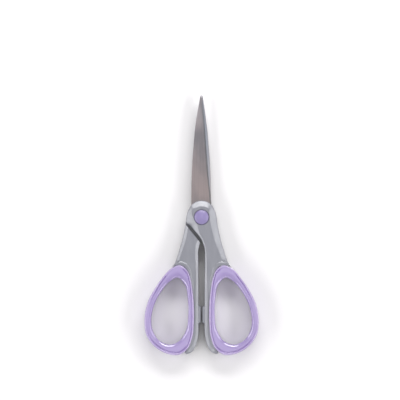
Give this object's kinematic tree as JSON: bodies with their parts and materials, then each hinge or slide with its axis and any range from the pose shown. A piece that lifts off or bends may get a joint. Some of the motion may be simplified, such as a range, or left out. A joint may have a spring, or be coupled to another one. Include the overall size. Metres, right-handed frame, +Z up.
{
  "type": "small straight-blade scissors",
  "caption": "Small straight-blade household scissors with moulded handles, soft ring grips and a capped pivot; the two halves open about the pivot.",
  "frame": {"origin": "centre of the closed outline, on the surface the scissors lie on", "axes": "+Y towards the tips, +Z up out of the surface, parallel to the pivot axis; +X towards the upper half's handle"},
  "size_m": [0.0592, 0.135, 0.0088],
  "materials": {
    "blade_steel": "fine lengthwise grind, half polished",
    "grey_plastic": "satin moulded hard plastic with a silver-grey pearl tint",
    "lilac_rubber": "smooth soft-touch, slightly glossy",
    "lilac_plastic": "smooth moulded",
    "pivot_steel": "plated"
  },
  "bodies": {
    "rear_half": {"rear_blade": "blade_steel", "rear_handle": "grey_plastic", "rear_grip": "lilac_rubber", "rear_washer": "pivot_steel"},
    "front_half": {"front_blade": "blade_steel", "front_handle": "grey_plastic", "front_grip": "lilac_rubber", "pivot_rivet": "pivot_steel", "pivot_cap": "lilac_plastic", "spring_washer": "pivot_steel"}
  },
  "joints": [
    {"name": "blade_pivot", "type": "hinge", "parent": "rear_half", "child": "front_half", "pos_m": [0, 0.0044, 0.0042], "axis": [0, 0, 1], "range_deg": [0, 80]}
  ]
}
